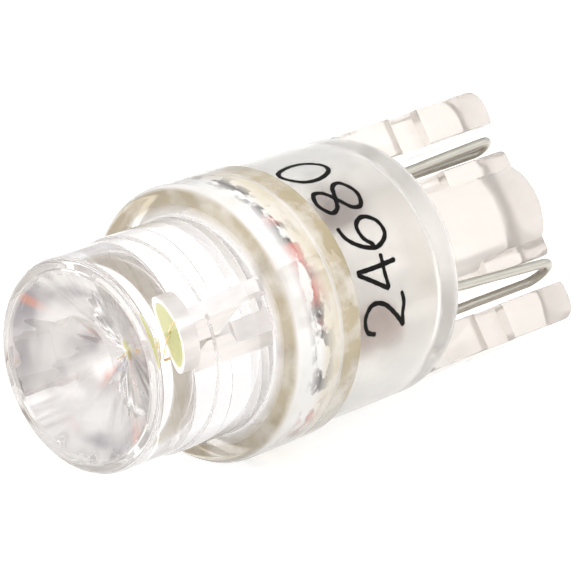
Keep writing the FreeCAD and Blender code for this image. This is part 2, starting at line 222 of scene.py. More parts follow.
def addRimGlints(tree, at):
    # painted reflections: grey and salmon glint lines in a narrow band round the ring
    fromGlintBand = addNode(tree, "Math", {0: at["along"], 1: alongBulb(epoxy["glintBandAtMm"])}, operation="SUBTRACT")
    glintBandAway = addNode(tree, "Math", {0: fromGlintBand}, operation="ABSOLUTE")
    glintBand = addNode(tree, "MapRange", {"Value": glintBandAway, **between((epoxy["glintBandHalfWidth"] * mm, 0))})
    wander = addNode(tree, "VectorMath", {0: at["spoke"], "Scale": epoxy["rimGlintTurn"] * mm}, operation="SCALE")
    rimGlintPlace = addNode(tree, "VectorMath", {0: wander, 1: at["ringPlace"]}, operation="ADD")
    noise = addNode(
        tree, "TexNoise", {"Vector": rimGlintPlace, "Scale": 1 / (epoxy["rimGlintMm"] * mm), "Detail": 3.0}
    )
    lines = addNode(tree, "MapRange", {"Value": noise, **between(epoxy["rimGlintSpan"])})
    return addNode(tree, "Math", {0: glintBand, 1: lines}, operation="MULTIPLY")


def addDentGlints(tree, at):
    # painted reflections: grey and salmon smears that run round the dent
    noise = addNode(
        tree, "TexNoise",
        {
            "Vector": at["dentGlintPlace"], "W": epoxy["dentGlintSeed"],
            "Scale": 1 / (epoxy["dentGlintMm"] * mm), "Detail": 2.0,
        },
        noise_dimensions="4D",
    )
    dentGlintAmount = addNode(tree, "MapRange", {"Value": noise, **between(epoxy["dentGlintSpan"])})
    onSkin = addNode(tree, "Math", {0: dentGlintAmount, 1: at["skin"]}, operation="MULTIPLY")
    return addNode(tree, "Math", {0: onSkin, 1: at["dent"]}, operation="MULTIPLY")


def addSkinColour(tree, at):
    salmon = addSalmonShare(tree, at)
    grey, red = epoxy["rimGlintColours"]
    # painted reflections on the ring
    rimGlintColour = addNode(tree, "Mix", {0: salmon, 6: tint(grey), 7: tint(red)}, data_type="RGBA")
    rimColour = addNode(
        tree, "Mix", {0: addRimGlints(tree, at), 6: addBands(tree, at), 7: rimGlintColour}, data_type="RGBA"
    )
    # painted reflections in the dent
    grey, red = epoxy["dentGlintColours"]
    dentGlintColour = addNode(tree, "Mix", {0: salmon, 6: tint(grey), 7: tint(red)}, data_type="RGBA")
    bodyColour = addNode(
        tree, "Mix", {0: addDentGlints(tree, at), 6: tint(epoxy["body"]), 7: dentGlintColour}, data_type="RGBA"
    )
    return addNode(tree, "Mix", {0: at["rim"], 6: bodyColour, 7: rimColour}, data_type="RGBA")


def addPaintedEdgeShade(tree, at):
    # painted shade: a dark edge where the resin is seen edge-on, which draws the outline of clear resin on
    # white
    edgeOn = addNode(tree, "LayerWeight", {"Blend": 0.5}).outputs["Facing"]
    outlined = addNode(tree, "MapRange", {"Value": edgeOn, **between(epoxy["edgeShadeSpan"])})
    return addNode(tree, "Math", {0: outlined, 1: at["skin"]}, operation="MULTIPLY")


def addEpoxyHeights(tree, at):
    # heights in millimetres: slow ripples everywhere
    ripples = addNode(
        tree, "TexNoise", {"Vector": at["here"], "Scale": 1 / (epoxy["rippleMm"] * mm), "Detail": 0.0}
    )
    rippleHeight = addNode(tree, "Math", {0: ripples, 1: epoxy["rippleHeight"]}, operation="MULTIPLY")
    # radial streaks, only in the dent
    streaks = addNode(tree, "TexNoise", {"Vector": at["spoke"], "Scale": epoxy["dentStreaks"], "Detail": 1.0})
    streakRise = addNode(tree, "Math", {0: streaks, 1: epoxy["dentSlope"] / mm}, operation="MULTIPLY")
    streakAway = addNode(tree, "Math", {0: streakRise, 1: at["away"]}, operation="MULTIPLY")
    streakHeight = addNode(tree, "Math", {0: streakAway, 1: at["dent"]}, operation="MULTIPLY")
    # fine rings, only on the thick rim
    rings = addNode(
        tree, "TexNoise", {"Vector": at["ringPlace"], "Scale": 1 / (epoxy["ringsMm"] * mm), "Detail": 1.0}
    )
    ringRise = addNode(tree, "Math", {0: rings, 1: epoxy["ringsHeight"]}, operation="MULTIPLY")
    ringHeight = addNode(tree, "Math", {0: ringRise, 1: at["rim"]}, operation="MULTIPLY")
    frontHeights = addNode(tree, "Math", {0: rippleHeight, 1: streakHeight}, operation="ADD")
    return addNode(tree, "Math", {0: frontHeights, 1: ringHeight}, operation="ADD")


def addEpoxyHaze(tree, at):
    # roughness: a little in the dent, and more on the open side of the mould
    dentHaze = addNode(tree, "Math", {0: at["dent"], 1: epoxy["dentRoughness"]}, operation="MULTIPLY")
    rearHaze = addNode(
        tree, "MapRange",
        {
            "Value": at["along"], **between(map(alongBulb, epoxy["rearSpanMm"])),
            "To Max": epoxy["rearRoughness"],
        },
    )
    return addNode(tree, "Math", {0: dentHaze, 1: rearHaze}, operation="ADD")


def makeClearEpoxy():
    material, tree = newMaterial("clear_epoxy")
    at = addEpoxyPlaces(tree)
    # painted shade along the edges seen edge-on, laid over the skin's colour
    outline = addPaintedEdgeShade(tree, at)
    colour = addNode(
        tree, "Mix", {0: outline, 6: addSkinColour(tree, at), 7: tint(epoxy["outline"])}, data_type="RGBA"
    )
    skinClearness = addNode(
        tree, "MapRange", {"Value": at["rim"], "To Min": 1.0, "To Max": epoxy["rimTransmission"]}
    )
    clearness = addNode(tree, "Mix", {0: outline, 2: skinClearness, 3: epoxy["edgeShadeTransmission"]})
    bump = addNode(tree, "Bump", {"Height": addEpoxyHeights(tree, at), "Strength": 1.0, "Distance": mm})
    shader = addNode(
        tree, "BsdfPrincipled",
        {
            "Base Color": colour,
            "IOR": epoxy["ior"],
            "Roughness": addEpoxyHaze(tree, at),
            "Transmission Weight": clearness,
            "Normal": bump,
        },
    )
    addNode(tree, "OutputMaterial", {"Surface": shader})
    return material


# Natural polycarbonate with a little diffuser in it, injection moulded: milky. The cup's mould has
# a fine spark texture, so pieces behind its wall show as soft brown patches, and the blade's is
# smoother.
milkyPlastic = {
    "ior": 1.45,
    "bladeSpanMm": (15.09, 15.69),  # where the cup's finish gives way to the blade's
    "cupTransmission": 0.86,
    "bladeTransmission": 0.70,
    "cupRoughness": (0.19, 0.26),
    "bladeRoughness": 0.12,
    "cupColours": ("#FFFCF8", "#FFFFFD"),
    "bladeColours": ("#EFE8E2", "#F5F0EB"),
    "grainMm": 0.35,
    "grainHeight": 0.006,
    "grainStrength": 0.2,
    "cloudMm": 3.0,
}
noiseSpan = (0.3, 0.7)      # most values of a noise lie between these


def makeMilkyPolycarbonate():
    material, tree = newMaterial("milky_polycarbonate")
    place = addNode(tree, "TexCoord").outputs["Object"]
    grain = addNode(
        tree, "TexNoise", {"Vector": place, "Scale": 1 / (milkyPlastic["grainMm"] * mm), "Detail": 1.0}
    )
    cloud = addNode(
        tree, "TexNoise", {"Vector": place, "Scale": 1 / (milkyPlastic["cloudMm"] * mm), "Detail": 2.0}
    )
    along = addNode(tree, "SeparateXYZ", {"Vector": place}).outputs["X"]
    onBlade = addNode(
        tree, "MapRange", {"Value": along, **between(map(alongBulb, milkyPlastic["bladeSpanMm"]))}
    )
    shades = []
    for darker, lighter in (milkyPlastic["cupColours"], milkyPlastic["bladeColours"]):
        shades.append(
            addNode(tree, "Mix", {0: cloud, 6: tint(darker), 7: tint(lighter)}, data_type="RGBA")
        )
    shade = addNode(tree, "Mix", {0: onBlade, 6: shades[0], 7: shades[1]}, data_type="RGBA")
    clearness = addNode(
        tree, "MapRange",
        {
            "Value": onBlade, "To Min": milkyPlastic["cupTransmission"],
            "To Max": milkyPlastic["bladeTransmission"],
        },
    )
    smooth, rough = milkyPlastic["cupRoughness"]
    cupHaze = addNode(
        tree, "MapRange", {"Value": cloud, **between(noiseSpan), "To Min": smooth, "To Max": rough}
    )
    haze = addNode(tree, "Mix", {0: onBlade, 2: cupHaze, 3: milkyPlastic["bladeRoughness"]})
    bump = addNode(
        tree, "Bump",
        {
            "Height": grain, "Strength": milkyPlastic["grainStrength"],
            "Distance": milkyPlastic["grainHeight"] * mm,
        },
    )
    shader = addNode(
        tree, "BsdfPrincipled",
        {
            "Base Color": shade,
            "IOR": milkyPlastic["ior"],
            "Transmission Weight": clearness,
            "Roughness": haze,
            "Normal": bump,
        },
    )
    addNode(tree, "OutputMaterial", {"Surface": shader})
    return material


# Metals: colour, roughness from and to, spacing of the marks in mm, how the marks are drawn out.
metalFinishes = {
    # stamped strip, silver plated; the punch leaves faint lengthwise marks
    "silvered_strip": {
        "colour": "#FBF8F6", "roughness": (0.3, 0.42), "marksMm": 0.25, "stretch": (0.2, 1, 1),
    },
    # drawn and tinned wire: satin, with long draw marks
    "tinned_lead": {"colour": "#C0BDB4", "roughness": (0.28, 0.45), "marksMm": 0.15, "stretch": (0.2, 1, 1)},
    # copper-clad plugs of the diode
    "plug_metal": {"colour": "#C9A58A", "roughness": (0.3, 0.4), "marksMm": 0.1, "stretch": (1, 1, 1)},
    # fine bond wire, drawn bright
    "gold_wire": {"colour": "#E8D09A", "roughness": (0.2, 0.3), "marksMm": 0.05, "stretch": (1, 1, 1)},
    # soldered by hand: smooth pools with a dull skin
    "solder": {"colour": "#C9C8C4", "roughness": (0.3, 0.5), "marksMm": 0.3, "stretch": (1, 1, 1)},
}
metalMarks = {"shades": (0.92, 1.04), "height": 0.006, "strength": 0.1}


def makeMetal(name, finish):
    material, tree = newMaterial(name)
    place = addNode(tree, "TexCoord").outputs["Object"]
    drawn = addNode(tree, "Mapping", {"Vector": place, "Scale": finish["stretch"]})
    marks = addNode(tree, "TexNoise", {"Vector": drawn, "Scale": 1 / (finish["marksMm"] * mm), "Detail": 3.0})
    ranges = []
    for low, high in (metalMarks["shades"], finish["roughness"]):
        ranges.append(addNode(
            tree, "MapRange", {"Value": marks, **between(noiseSpan), "To Min": low, "To Max": high}
        ))
    value, satin = ranges
    shade = addNode(tree, "HueSaturation", {"Color": tint(finish["colour"]), "Value": value})
    bump = addNode(
        tree, "Bump",
        {"Height": marks, "Strength": metalMarks["strength"], "Distance": metalMarks["height"] * mm},
    )
    shader = addNode(
        tree, "BsdfPrincipled", {"Base Color": shade, "Metallic": 1.0, "Roughness": satin, "Normal": bump}
    )
    addNode(tree, "OutputMaterial", {"Surface": shader})
    return material


# Resins, inks and stone-like pieces: two colours, roughness from and to, spacing and height in mm,
# and how much the surface shines.
dullFinishes = {
    # clear resin full of yellow-green phosphor powder
    "phosphor": {
        "colours": ("#EAEC86", "#FAFACB"), "roughness": (0.5, 0.7), "marksMm": 0.06, "height": 0.006,
        "shine": 0.4,
    },
    # sawn and polished crystal
    "die": {
        "colours": ("#8FA3B8", "#C7D3DE"), "roughness": (0.15, 0.25), "marksMm": 0.08, "height": 0.002,
        "shine": 0.6,
    },
    # dipped epoxy lacquer of a small resistor
    "resistor_lacquer": {
        "colours": ("#7E5038", "#A06E50"), "roughness": (0.3, 0.45), "marksMm": 0.3, "height": 0.01,
        "shine": 0.5,
    },
    # black pad-printed ink, a little thin in places
    "marking_ink": {
        "colours": ("#060505", "#14100E"), "roughness": (0.6, 0.75), "marksMm": 0.12, "height": 0.004,
        "shine": 0.12,
    },
}
dullMarks = {"strength": 0.3}


def makeDull(name, finish):
    material, tree = newMaterial(name)
    place = addNode(tree, "TexCoord").outputs["Object"]
    marks = addNode(tree, "TexNoise", {"Vector": place, "Scale": 1 / (finish["marksMm"] * mm), "Detail": 4.0})
    amount = addNode(tree, "MapRange", {"Value": marks, **between(noiseSpan)})
    dark, light = finish["colours"]
    shade = addNode(tree, "Mix", {0: amount, 6: tint(dark), 7: tint(light)}, data_type="RGBA")
    low, high = finish["roughness"]
    gloss = addNode(tree, "MapRange", {"Value": amount, "To Min": low, "To Max": high})
    bump = addNode(
        tree, "Bump", {"Height": marks, "Strength": dullMarks["strength"], "Distance": finish["height"] * mm}
    )
    shader = addNode(
        tree, "BsdfPrincipled",
        {"Base Color": shade, "Roughness": gloss, "Specular IOR Level": finish["shine"], "Normal": bump},
    )
    addNode(tree, "OutputMaterial", {"Surface": shader})
    return material


# Drawn glass sleeve of a small diode, red-brown and only a little clear.
diodeGlass = {
    "ior": 1.52,
    "colours": ("#643A28", "#85543C"),
    "transmission": 0.2,
    "roughness": 0.08,
    "cloudMm": 0.8,
}


def makeDiodeGlass():
    material, tree = newMaterial("diode_glass")
    place = addNode(tree, "TexCoord").outputs["Object"]
    cloud = addNode(
        tree, "TexNoise", {"Vector": place, "Scale": 1 / (diodeGlass["cloudMm"] * mm), "Detail": 2.0}
    )
    deep, pale = diodeGlass["colours"]
    shade = addNode(tree, "Mix", {0: cloud, 6: tint(deep), 7: tint(pale)}, data_type="RGBA")
    shader = addNode(
        tree, "BsdfPrincipled",
        {
            "Base Color": shade,
            "IOR": diodeGlass["ior"],
            "Transmission Weight": diodeGlass["transmission"],
            "Roughness": diodeGlass["roughness"],
        },
    )
    addNode(tree, "OutputMaterial", {"Surface": shader})
    return material


finishes = {
    "clear_epoxy": makeClearEpoxy(),
    "milky_polycarbonate": makeMilkyPolycarbonate(),
    "diode_glass": makeDiodeGlass(),
}
for finishName, finish in metalFinishes.items():
    finishes[finishName] = makeMetal(finishName, finish)
for finishName, finish in dullFinishes.items():
    finishes[finishName] = makeDull(finishName, finish)
print("finishes made:", len(finishes))

onAxis = 1e-6       # mm; a smaller radius or step counts as none
mergeMm = 1e-5      # points nearer than this become one


def cornerArc(before, here, after, rounding):
    # the arc that rounds a corner: its centre, and where it starts and ends as seen from there
    back = (before - here).normalized()
    ahead = (after - here).normalized()
    halfAngle = back.angle(ahead) / 2
    reach = rounding / math.tan(halfAngle)
    centre = here + (back + ahead).normalized() * rounding / math.sin(halfAngle)
    return centre, here + back * reach - centre, here + ahead * reach - centre


def roundedCorners(corners, roundings, arcSteps=8):
    # a closed outline with arcs at the numbered corners
    places = [Vector(corner) for corner in corners]
    points = []
    for i, here in enumerate(places):
        rounding = roundings.get(i, 0)
        if rounding == 0:
            points.append(here)
            continue
        centre, first, last = cornerArc(places[i - 1], here, places[(i + 1) % len(places)], rounding)
        sweep = first.angle_signed(last)
        for step in range(arcSteps + 1):
            turn = -sweep * step / arcSteps
            points.append(centre + Matrix.Rotation(turn, 2) @ first)
    return points


def pieceFromBmesh(bm, name):
    mesh = bpy.data.meshes.new(name)
    bm.to_mesh(mesh)
    bm.free()
    piece = bpy.data.objects.new(name, mesh)
    bpy.context.scene.collection.objects.link(piece)
    return piece


def turnedPiece(name, outline, steps):
    # revolves an outline of (x, radius) about the x axis; points on the axis become single poles
    bm = bmesh.new()
    rings = []
    for x, radius in outline:
        if radius < onAxis:
            rings.append([bm.verts.new((x, 0, 0))])
            continue
        ring = []
        for i in range(steps):
            angle = math.tau * i / steps
            ring.append(bm.verts.new((x, radius * math.cos(angle), radius * math.sin(angle))))
        rings.append(ring)
    for first, second in zip(rings, rings[1:] + rings[:1]):
        for i in range(steps):
            j = (i + 1) % steps
            corners = [ring[k % len(ring)] for ring, k in ((first, i), (first, j), (second, j), (second, i))]
            unique = list(dict.fromkeys(corners))
            if len(unique) > 2:
                bm.faces.new(unique)
    bmesh.ops.recalc_face_normals(bm, faces=bm.faces)
    return pieceFromBmesh(bm, name)


def carriedShape(corners, way):
    # a flat outline carried along a straight way, closed at both ends
    bm = bmesh.new()
    flat = bm.faces.new([bm.verts.new(corner) for corner in corners])
    carried = bmesh.ops.extrude_face_region(bm, geom=[flat])
    moved = [item for item in carried["geom"] if isinstance(item, bmesh.types.BMVert)]
    bmesh.ops.translate(bm, vec=way, verts=moved)
    bmesh.ops.recalc_face_normals(bm, faces=bm.faces)
    return bm


def combine(piece, other, how):
    # one exact boolean, applied at once; the other piece is used up
    cutter = piece.modifiers.new(how.lower(), "BOOLEAN")
    cutter.operation = how
    cutter.solver = "EXACT"
    cutter.object = other
    shape = bpy.data.meshes.new_from_object(piece.evaluated_get(bpy.context.evaluated_depsgraph_get()))
    piece.modifiers.clear()
    old = piece.data
    piece.data = shape
    shape.name = piece.name
    bpy.data.meshes.remove(old)
    bpy.data.objects.remove(other)


def smoothMesh(mesh, sharpAngle):
    # smooth shading that stops at the real edges
    bm = bmesh.new()
    bm.from_mesh(mesh)
    bmesh.ops.remove_doubles(bm, verts=bm.verts, dist=mergeMm)
    bmesh.ops.dissolve_degenerate(bm, edges=bm.edges, dist=mergeMm)
    bmesh.ops.recalc_face_normals(bm, faces=bm.faces)
    for face in bm.faces:
        face.smooth = True
    limit = math.radians(sharpAngle)
    for edge in bm.edges:
        edge.smooth = not (len(edge.link_faces) == 2 and edge.calc_face_angle(0) > limit)
    bm.to_mesh(mesh)
    bm.free()


def finishPiece(piece, finish, nodes=(), sharpAngle=28):
    # lays the piece down, gives it its finish and hangs it on the bulb
    smoothMesh(piece.data, sharpAngle)
    piece.data.transform(layDown)
    piece.data.materials.clear()
    piece.data.materials.append(finishes[finish])
    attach(piece, "root")
    if nodes:
        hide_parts(*nodes)
    print(piece.name, "faces", len(piece.data.polygons))


# One clear moulding: dented front, mould step, ring, parting groove, flange and spigot.
lens = {
    "frontRadius": 3.97,
    "rearRadius": 4.06,
    "stepX": 2.85,
    "stepLength": 0.08,
    "stepEdge": 0.03,
    "lipRounding": 0.24,
    "coneMouth": 3.52,
    "coneDepth": 2.5,
    "coneEdge": 0.10,
    "coneTip": 0.14,
    "ringX": 5.8,
    "ringRadius": 5.196,    # a hair inside the solid, whose facets cut its circle short
    "ringLength": 2.22,
    "ringEdge": 0.32,
    "ringRoot": 0.12,
    "grooveWidth": 0.14,
    "grooveDepth": 0.09,
    "grooveEdges": (0.05, 0.03),
    "flangeRadius": 5.176,
    "flangeLength": 1.0,
    "flangeEdge": 0.10,
    "spigotRadius": 4.02,
    "spigotLength": 0.4,
    "spigotEdge": 0.05,
    "steps": 192,
    "tipSteps": 8,
}
lens["grooveX"] = lens["ringX"] + lens["ringLength"]
lens["flangeX"] = lens["grooveX"] + lens["grooveWidth"]
lens["seatX"] = lens["flangeX"] + lens["flangeLength"]
lens["spigotEnd"] = lens["seatX"] + lens["spigotLength"]


def coneTipBall():
    # the cone's pointed tip as a small ball end
    halfCone = math.atan2(lens["coneMouth"], lens["coneDepth"])
    centre = lens["coneDepth"] - lens["coneTip"] / math.sin(halfCone)
    ball = []
    for i in range(lens["tipSteps"] + 1):
        angle = (math.pi / 2 - halfCone) * i / lens["tipSteps"]
        ball.append(Vector((centre + lens["coneTip"] * math.cos(angle), lens["coneTip"] * math.sin(angle))))
    return ball


def makeLens():
    # outline of (x, radius, rounding)
    outline = (
        (lens["coneDepth"], 0, 0),
        (0, lens["coneMouth"], lens["coneEdge"]),
        (0, lens["frontRadius"], lens["lipRounding"]),
        (lens["stepX"], lens["frontRadius"], lens["stepEdge"]),
        (lens["stepX"] + lens["stepLength"], lens["rearRadius"], lens["stepEdge"]),
        (lens["ringX"], lens["rearRadius"], lens["ringRoot"]),
        (lens["ringX"], lens["ringRadius"], lens["ringEdge"]),
        (lens["grooveX"], lens["ringRadius"], lens["grooveEdges"][0]),
        (lens["grooveX"] + lens["grooveWidth"] / 2, lens["ringRadius"] - lens["grooveDepth"], 0),
        (lens["flangeX"], lens["flangeRadius"], lens["grooveEdges"][1]),
        (lens["seatX"], lens["flangeRadius"], lens["flangeEdge"]),
        (lens["seatX"], lens["spigotRadius"], 0),
        (lens["spigotEnd"], lens["spigotRadius"], lens["spigotEdge"]),
        (lens["spigotEnd"], 0, 0),
    )
    corners = [(x, radius) for x, radius, rounding in outline]
    roundings = {i: corner[2] for i, corner in enumerate(outline)}
    rounded = roundedCorners(corners, roundings)
    piece = turnedPiece("lensMoulding", coneTipBall() + rounded[1:], lens["steps"])
    finishPiece(piece, "clear_epoxy", ["lamp_lens"])


makeLens()

# One milky moulding: the cup, and the blade with its three fingers, notches and rib.
base = {
    "frontRadius": 4.97,
    "rearRadius": 4.93,
    "frontRounding": 0.10,
    "seatGap": 0.01,            # air between the lens's flange and the cup's rim
    "cupLength": 6.1,
    "rearWall": 0.8,
    "shoulder": 0.9,
    "cavityRadius": 4.08,
    "cavityCorner": 0.5,
    "bladeLength": 7.72,
    "bladeWidth": 9.44,
    "bladeThickness": 3.0,
    "wingWidth": 1.44,
    "slotWidth": 1.10,
    "wingCorner": 0.70,
    "tongueCorner": 0.28,
    "slotCorner": 0.20,
    "edge": 0.10,
    "ribRadius": 2.1,
    "ribInset": 0.004,          # keeps the rib's end off the tongue's
    "notchFromCup": 2.5,
    "notchLength": 1.6,
    "notchDepth": 0.42,
    "notchRamp": 0.35,
    "notchOver": (1, 0.5),      # how far the cutting shape reaches past the blade, in y and z
    "rootOverlap": 0.5,
    "holeRadius": 0.25,
    "holes": ((-2.85, 0.45), (2.50, 0.45)),
    "holeOver": (0.5, 1),       # how far it reaches into the cavity and past the blade's end
    "cupSteps": 160,
    "cupArcSteps": 12,
    "bladeArcSteps": 6,
    "ribSteps": 96,
    "holeSteps": 24,
    "edgeSteps": 3,
}
base["cupRear"] = lens["seatX"] + base["cupLength"]
base["cavityEnd"] = base["cupRear"] - base["rearWall"]
base["bladeEnd"] = base["cupRear"] + base["bladeLength"]
base["bladeStart"] = base["cupRear"] - base["rootOverlap"]


def makeCup():
    front = lens["seatX"] + base["seatGap"]
    corners = [
        (front, base["cavityRadius"]),
        (front, base["frontRadius"]),
        (base["cupRear"], base["rearRadius"]),
        (base["cupRear"], 0),
        (base["cavityEnd"], 0),
        (base["cavityEnd"], base["cavityRadius"]),
    ]
    roundings = {1: base["frontRounding"], 2: base["shoulder"], 5: base["cavityCorner"]}
    outline = roundedCorners(corners, roundings, base["cupArcSteps"])
    return turnedPiece("baseMoulding", outline, base["cupSteps"])


def makeFinger(name, low, high, lowCorner, highCorner):
    # one finger of the blade from y low to y high, with all its long edges rounded
    start = base["bladeStart"]
    corners = [(start, low), (base["bladeEnd"], low), (base["bladeEnd"], high), (start, high)]
    outline = roundedCorners(corners, {1: lowCorner, 2: highCorner}, base["bladeArcSteps"])
    half = base["bladeThickness"] / 2
    bm = carriedShape([(x, y, -half) for x, y in outline], (0, 0, base["bladeThickness"]))
    longEdges = [e for e in bm.edges if abs(e.verts[0].co.z - e.verts[1].co.z) < onAxis]
    bmesh.ops.bevel(
        bm, geom=longEdges, offset=base["edge"], segments=base["edgeSteps"], profile=0.5, affect="EDGES"
    )
    return pieceFromBmesh(bm, name)


def makeNotch(side):
    # a wedge that clears one notch across the whole blade, on the near or the far face
    overSide, overFace = base["notchOver"]
    start = base["cupRear"] + base["notchFromCup"]
    end = start + base["notchLength"]
    face = base["bladeThickness"] / 2
    floor = face - base["notchDepth"]
    profile = [
        (start, face + overFace), (start, face), (start + base["notchRamp"], floor), (end, floor),
        (end, face + overFace),
    ]
    near = -base["bladeWidth"] / 2 - overSide
    way = (0, base["bladeWidth"] + 2 * overSide, 0)
    return pieceFromBmesh(carriedShape([(x, near, z * side) for x, z in profile], way), "notch")


def makeRib():
    start = base["bladeStart"]
    end = base["bladeEnd"] - base["ribInset"]
    corners = [(start, 0), (start, base["ribRadius"]), (end, base["ribRadius"]), (end, 0)]
    return turnedPiece("rib", roundedCorners(corners, {2: base["edge"]}), base["ribSteps"])


def makeHole(y, z):
    # a rod that clears one wire's way through the rear wall
    start = base["cavityEnd"] - base["holeOver"][0]
    end = base["bladeEnd"] + base["holeOver"][1]
    corners = [(start, 0), (start, base["holeRadius"]), (end, base["holeRadius"]), (end, 0)]
    hole = turnedPiece("hole", corners, base["holeSteps"])
    hole.data.transform(Matrix.Translation((0, y, z)))
    return hole


def makeBase():
    half = base["bladeWidth"] / 2
    middle = half - base["wingWidth"] - base["slotWidth"]
    lowWing = makeFinger("lowWing", -half, -half + base["wingWidth"], base["wingCorner"], base["slotCorner"])
    highWing = makeFinger("highWing", half - base["wingWidth"], half, base["slotCorner"], base["wingCorner"])
    tongue = makeFinger("tongue", -middle, middle, base["tongueCorner"], base["tongueCorner"])
    for side in (1, -1):
        for finger in (lowWing, highWing, tongue):
            combine(finger, makeNotch(side), "DIFFERENCE")
    combine(tongue, makeRib(), "UNION")
    piece = makeCup()
    for finger in (tongue, lowWing, highWing):
        combine(piece, finger, "UNION")
    for y, z in base["holes"]:
        combine(piece, makeHole(y, z), "DIFFERENCE")
    finishPiece(piece, "milky_polycarbonate", ["wedge_base"])


makeBase()

# The two contact wires: each runs from its component along a slot and folds back over the blade.
wire = {
    "radius": 0.18,             # a hair thinner than the solid wire
    "roundSteps": 20,
    "stepMm": 0.08,
    "unevenness": 0.03,         # how far the bent wire wanders from straight
    "wanderScale": 0.9,
    "seed": 4,
    "bend": 0.3,
    "stub": 0.32,               # straight stretch and first bend behind the component
    "slotZ": 0.45,
    "hookInset": 0.10,
    "hookFullness": 0.96,
    "sharpAngle": 50,
}
wireRoutes = {
    "resistorWire": {
        "node": "resistor_contact_wire",
        "start": (13.45, -2.35, 1.3),
        "slotY": -2.85,
        "hookY": -2.50,
        "free": (17.0, -2.12, 1.74),
    },
    "diodeWire": {
        "node": "diode_contact_wire",
        "start": (13.80, 2.05, 1.6),
        "slotY": 2.50,
        "hookY": 2.74,
        "free": (17.3, 2.60, 1.22),
    },
}


def roundedRoute(points, radii, arcSteps=10):
    # an open line in space with a tangent arc at each inner point
    line = [points[0]]
    for before, here, after, radius in zip(points, points[1:], points[2:], radii):
        centre, first, last = cornerArc(before, here, after, radius)
        for step in range(arcSteps + 1):
            line.append(centre + first.slerp(last, step / arcSteps) * radius)
    line.append(points[-1])
    return line


def makeWireTree():
    # a drawn wire along a line, with closed ends and a slight wander
    tree = bpy.data.node_groups.new("drawnWire", "GeometryNodeTree")
    tree.interface.new_socket(name="Geometry", in_out="INPUT", socket_type="NodeSocketGeometry")
    tree.interface.new_socket(name="Geometry", in_out="OUTPUT", socket_type="NodeSocketGeometry")
    names = {}
    for name, kind, value in (
        ("Radius", "NodeSocketFloat", wire["radius"]),
        ("Step", "NodeSocketFloat", wire["stepMm"]),
        ("Round steps", "NodeSocketInt", wire["roundSteps"]),
        ("Wander", "NodeSocketFloat", wire["unevenness"]),
        ("Seed", "NodeSocketInt", wire["seed"]),
        ("Metal", "NodeSocketMaterial", None),
    ):
        socket = tree.interface.new_socket(name=name, in_out="INPUT", socket_type=kind)
        if value is not None:
            socket.default_value = value
        names[name] = socket.identifier
    given = addNode(tree, "NodeGroupInput").outputs
    even = addNode(
        tree, "GeometryNodeResampleCurve", {"Curve": given["Geometry"], "Length": given["Step"]},
        mode="LENGTH",
    )
    drift = addNode(
        tree, "TexNoise", {"W": given["Seed"], "Scale": wire["wanderScale"], "Detail": 1.0},
        noise_dimensions="4D",
    ).outputs["Color"]
    centred = addNode(tree, "VectorMath", {0: drift, 1: (0.5, 0.5, 0.5)}, operation="SUBTRACT")
    scaled = addNode(tree, "VectorMath", {0: centred, "Scale": given["Wander"]}, operation="SCALE")
    moved = addNode(tree, "GeometryNodeSetPosition", {"Geometry": even, "Offset": scaled})
    section = addNode(
        tree, "GeometryNodeCurvePrimitiveCircle",
        {"Resolution": given["Round steps"], "Radius": given["Radius"]},
    )
    skin = addNode(
        tree, "GeometryNodeCurveToMesh", {"Curve": moved, "Profile Curve": section, "Fill Caps": True}
    )
    real = addNode(tree, "GeometryNodeRealizeInstances", {"Geometry": skin})
    coated = addNode(tree, "GeometryNodeSetMaterial", {"Geometry": real, "Material": given["Metal"]})
    addNode(tree, "NodeGroupOutput", {"Geometry": coated})
    return tree, names


def routeCurve(name, line):
    data = bpy.data.curves.new(name, "CURVE")
    data.dimensions = "3D"
    spline = data.splines.new("POLY")
    spline.points.add(len(line) - 1)
    for point, place in zip(spline.points, line):
        point.co = (*place, 1)
    piece = bpy.data.objects.new(name, data)
    bpy.context.scene.collection.objects.link(piece)
    return piece


def plainMeshOf(piece, name):
    # the evaluated result as a plain mesh object; the first object goes
    shape = bpy.data.meshes.new_from_object(piece.evaluated_get(bpy.context.evaluated_depsgraph_get()))
    shape.name = name
    result = bpy.data.objects.new(name, shape)
    bpy.context.scene.collection.objects.link(result)
    bpy.data.objects.remove(piece)
    return result


def makeWires():
    tree, names = makeWireTree()
    hookX = base["bladeEnd"] - wire["hookInset"] - wire["radius"]
    for number, (name, route) in enumerate(wireRoutes.items()):
        start = Vector(route["start"])
        free = Vector(route["free"])
        inSlot = Vector((hookX, route["slotY"], wire["slotZ"]))
        overBlade = Vector((hookX, route["hookY"], free.z))
        turn = (inSlot - overBlade).length / 2 * wire["hookFullness"]
        throughWall = Vector((base["cavityEnd"] - wire["bend"], route["slotY"], wire["slotZ"]))
        points = [start, start + Vector((wire["stub"], 0, 0)), throughWall, inSlot, overBlade, free]
        curve = routeCurve(name + "Route", roundedRoute(points, [wire["bend"], wire["bend"], turn, turn]))
        modifier = curve.modifiers.new("drawnWire", "NODES")
        modifier.node_group = tree
        modifier[names["Metal"]] = finishes["tinned_lead"]
        modifier[names["Seed"]] = wire["seed"] + number
        piece = plainMeshOf(curve, name)
        finishPiece(piece, "tinned_lead", [route["node"]], wire["sharpAngle"])


makeWires()

# Plain numbers printed round the cup, one after another towards the top of the blade.
marking = {
    "digits": "24680",
    "angles": (119, 101, 83, 64, 44),   # where each digit's middle is, in degrees round the cup
    "footX": 11.7,
    "height": 2.1,
    "width": 1.35,
    "stroke": 0.185,
    "unevenness": 0.16,                 # share of the stroke's width
    "waves": (0.9, 2.3),                # how fast the width changes along a stroke
    "waveShift": 2.7,
    "penTip": (0.45, 0.35),             # share of the width at a free end, and its growth per step
    "thickness": 0.012,
    "sunk": 0.006,
    "stepMm": 0.05,
    "sharpAngle": 40,
}
